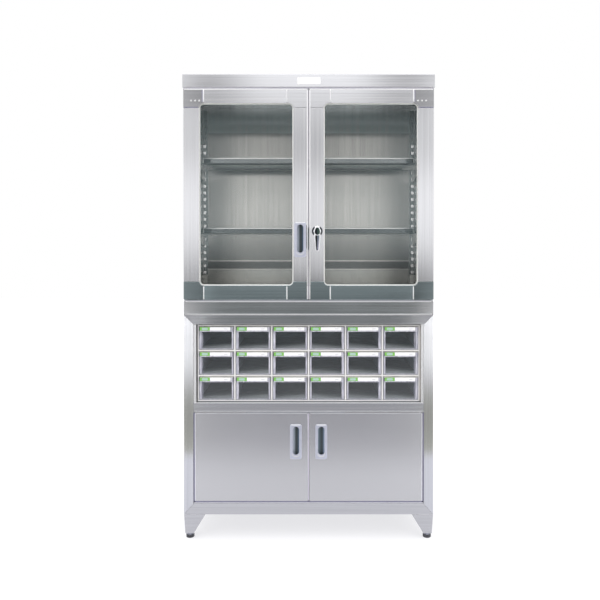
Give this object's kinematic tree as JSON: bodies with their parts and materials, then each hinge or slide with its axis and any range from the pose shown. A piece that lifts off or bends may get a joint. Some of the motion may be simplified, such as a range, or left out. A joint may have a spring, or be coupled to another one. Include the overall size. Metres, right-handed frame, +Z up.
{
  "type": "instrument cabinet",
  "caption": "Tall stainless-steel instrument cabinet: glazed hinged doors over shelves, a bank of small clear drawers, a lower cupboard with flush pulls, and levelling feet.",
  "frame": {"origin": "on the floor under the middle of the whole box, levelling feet down", "axes": "+Z up, front of the cabinet towards -Y, +X to the right seen from the front"},
  "size_m": [0.92, 0.45, 1.7],
  "materials": {
    "steel_sheet": "brushed stainless sheet, hairline grain",
    "steel_bright": "smooth stainless",
    "glass": "clear float glass, slight green tint",
    "seal": "pale glazing seal",
    "pull_metal": "satin grey flush pull",
    "lock_black": "gloss black",
    "lock_chrome": "polished",
    "drawer_clear": "clear smoky polystyrene",
    "housing_plastic": "satin pale grey moulding",
    "bush_plastic": "natural nylon",
    "foot_black": "moulded black"
  },
  "bodies": {
    "cabinet": {"top_cap": "steel_sheet", "upper_sides": "steel_sheet", "back_panels": "steel_sheet", "waist_deck": "steel_sheet", "shelf_standards": "steel_bright", "shelves": "steel_sheet", "shelf_brackets": "steel_bright", "lower_sides": "steel_sheet", "mid_deck": "steel_sheet", "bottom_deck": "steel_sheet", "front_posts": "steel_sheet", "front_rails": "steel_sheet", "filler_strips": "steel_bright", "legs": "steel_sheet", "drawer_housing": "housing_plastic", "pivot_bushes": "bush_plastic"},
    "left_glass_door": {"left_door_frame": "steel_sheet", "left_door_corners": "steel_sheet", "left_door_liner": "steel_sheet", "left_glass": "glass", "left_glass_seal": "seal", "left_pull": "pull_metal", "left_door_pivots": "steel_bright"},
    "right_glass_door": {"right_door_frame": "steel_sheet", "right_door_corners": "steel_sheet", "right_door_liner": "steel_sheet", "right_glass": "glass", "right_glass_seal": "seal", "right_door_pivots": "steel_bright", "lock_base": "lock_black"},
    "door_lock": {"lock_lever": "lock_chrome", "lock_tongue": "steel_bright"},
    "left_cupboard_door": {"lower_left_door": "steel_sheet", "lower_left_pull": "pull_metal", "lower_left_pivots": "steel_bright"},
    "right_cupboard_door": {"lower_right_door": "steel_sheet", "lower_right_pull": "pull_metal", "lower_right_pivots": "steel_bright"},
    "drawer_r1c1_tray": {"drawer_r1c1": "drawer_clear"},
    "drawer_r1c2_tray": {"drawer_r1c2": "drawer_clear"},
    "drawer_r1c3_tray": {"drawer_r1c3": "drawer_clear"},
    "drawer_r1c4_tray": {"drawer_r1c4": "drawer_clear"},
    "drawer_r1c5_tray": {"drawer_r1c5": "drawer_clear"},
    "drawer_r1c6_tray": {"drawer_r1c6": "drawer_clear"},
    "drawer_r2c1_tray": {"drawer_r2c1": "drawer_clear"},
    "drawer_r2c2_tray": {"drawer_r2c2": "drawer_clear"},
    "drawer_r2c3_tray": {"drawer_r2c3": "drawer_clear"},
    "drawer_r2c4_tray": {"drawer_r2c4": "drawer_clear"},
    "drawer_r2c5_tray": {"drawer_r2c5": "drawer_clear"},
    "drawer_r2c6_tray": {"drawer_r2c6": "drawer_clear"},
    "drawer_r3c1_tray": {"drawer_r3c1": "drawer_clear"},
    "drawer_r3c2_tray": {"drawer_r3c2": "drawer_clear"},
    "drawer_r3c3_tray": {"drawer_r3c3": "drawer_clear"},
    "drawer_r3c4_tray": {"drawer_r3c4": "drawer_clear"},
    "drawer_r3c5_tray": {"drawer_r3c5": "drawer_clear"},
    "drawer_r3c6_tray": {"drawer_r3c6": "drawer_clear"},
    "levelling_foot_front_left": {"foot_front_left": "foot_black"},
    "levelling_foot_front_right": {"foot_front_right": "foot_black"},
    "levelling_foot_rear_left": {"foot_rear_left": "foot_black"},
    "levelling_foot_rear_right": {"foot_rear_right": "foot_black"}
  },
  "joints": [
    {"name": "left_glass_door_hinge", "type": "hinge", "parent": "cabinet", "child": "left_glass_door", "pos_m": [-0.448, -0.186, 1.262], "axis": [0, 0, -1], "range_deg": [0, 110]},
    {"name": "right_glass_door_hinge", "type": "hinge", "parent": "cabinet", "child": "right_glass_door", "pos_m": [0.448, -0.186, 1.262], "axis": [0, 0, 1], "range_deg": [0, 110]},
    {"name": "lock_turn", "type": "hinge", "parent": "right_glass_door", "child": "door_lock", "pos_m": [0.0315, -0.195, 1.128], "axis": [0, -1, 0], "range_deg": [0, 90]},
    {"name": "left_cupboard_door_hinge", "type": "hinge", "parent": "cabinet", "child": "left_cupboard_door", "pos_m": [-0.409, -0.1875, 0.3], "axis": [0, 0, -1], "range_deg": [0, 110]},
    {"name": "right_cupboard_door_hinge", "type": "hinge", "parent": "cabinet", "child": "right_cupboard_door", "pos_m": [0.409, -0.1875, 0.3], "axis": [0, 0, 1], "range_deg": [0, 110]},
    {"name": "drawer_r1c1_slide", "type": "slide", "parent": "cabinet", "child": "drawer_r1c1_tray", "axis": [0, -1, 0], "range_m": [0, 0.21]},
    {"name": "drawer_r1c2_slide", "type": "slide", "parent": "cabinet", "child": "drawer_r1c2_tray", "axis": [0, -1, 0], "range_m": [0, 0.21]},
    {"name": "drawer_r1c3_slide", "type": "slide", "parent": "cabinet", "child": "drawer_r1c3_tray", "axis": [0, -1, 0], "range_m": [0, 0.21]},
    {"name": "drawer_r1c4_slide", "type": "slide", "parent": "cabinet", "child": "drawer_r1c4_tray", "axis": [0, -1, 0], "range_m": [0, 0.21]},
    {"name": "drawer_r1c5_slide", "type": "slide", "parent": "cabinet", "child": "drawer_r1c5_tray", "axis": [0, -1, 0], "range_m": [0, 0.21]},
    {"name": "drawer_r1c6_slide", "type": "slide", "parent": "cabinet", "child": "drawer_r1c6_tray", "axis": [0, -1, 0], "range_m": [0, 0.21]},
    {"name": "drawer_r2c1_slide", "type": "slide", "parent": "cabinet", "child": "drawer_r2c1_tray", "axis": [0, -1, 0], "range_m": [0, 0.21]},
    {"name": "drawer_r2c2_slide", "type": "slide", "parent": "cabinet", "child": "drawer_r2c2_tray", "axis": [0, -1, 0], "range_m": [0, 0.21]},
    {"name": "drawer_r2c3_slide", "type": "slide", "parent": "cabinet", "child": "drawer_r2c3_tray", "axis": [0, -1, 0], "range_m": [0, 0.21]},
    {"name": "drawer_r2c4_slide", "type": "slide", "parent": "cabinet", "child": "drawer_r2c4_tray", "axis": [0, -1, 0], "range_m": [0, 0.21]},
    {"name": "drawer_r2c5_slide", "type": "slide", "parent": "cabinet", "child": "drawer_r2c5_tray", "axis": [0, -1, 0], "range_m": [0, 0.21]},
    {"name": "drawer_r2c6_slide", "type": "slide", "parent": "cabinet", "child": "drawer_r2c6_tray", "axis": [0, -1, 0], "range_m": [0, 0.21]},
    {"name": "drawer_r3c1_slide", "type": "slide", "parent": "cabinet", "child": "drawer_r3c1_tray", "axis": [0, -1, 0], "range_m": [0, 0.21]},
    {"name": "drawer_r3c2_slide", "type": "slide", "parent": "cabinet", "child": "drawer_r3c2_tray", "axis": [0, -1, 0], "range_m": [0, 0.21]},
    {"name": "drawer_r3c3_slide", "type": "slide", "parent": "cabinet", "child": "drawer_r3c3_tray", "axis": [0, -1, 0], "range_m": [0, 0.21]},
    {"name": "drawer_r3c4_slide", "type": "slide", "parent": "cabinet", "child": "drawer_r3c4_tray", "axis": [0, -1, 0], "range_m": [0, 0.21]},
    {"name": "drawer_r3c5_slide", "type": "slide", "parent": "cabinet", "child": "drawer_r3c5_tray", "axis": [0, -1, 0], "range_m": [0, 0.21]},
    {"name": "drawer_r3c6_slide", "type": "slide", "parent": "cabinet", "child": "drawer_r3c6_tray", "axis": [0, -1, 0], "range_m": [0, 0.21]},
    {"name": "foot_front_left_screw", "type": "slide", "parent": "cabinet", "child": "levelling_foot_front_left", "axis": [0, 0, -1], "range_m": [0, 0.02]},
    {"name": "foot_front_right_screw", "type": "slide", "parent": "cabinet", "child": "levelling_foot_front_right", "axis": [0, 0, -1], "range_m": [0, 0.02]},
    {"name": "foot_rear_left_screw", "type": "slide", "parent": "cabinet", "child": "levelling_foot_rear_left", "axis": [0, 0, -1], "range_m": [0, 0.02]},
    {"name": "foot_rear_right_screw", "type": "slide", "parent": "cabinet", "child": "levelling_foot_rear_right", "axis": [0, 0, -1], "range_m": [0, 0.02]}
  ]
}
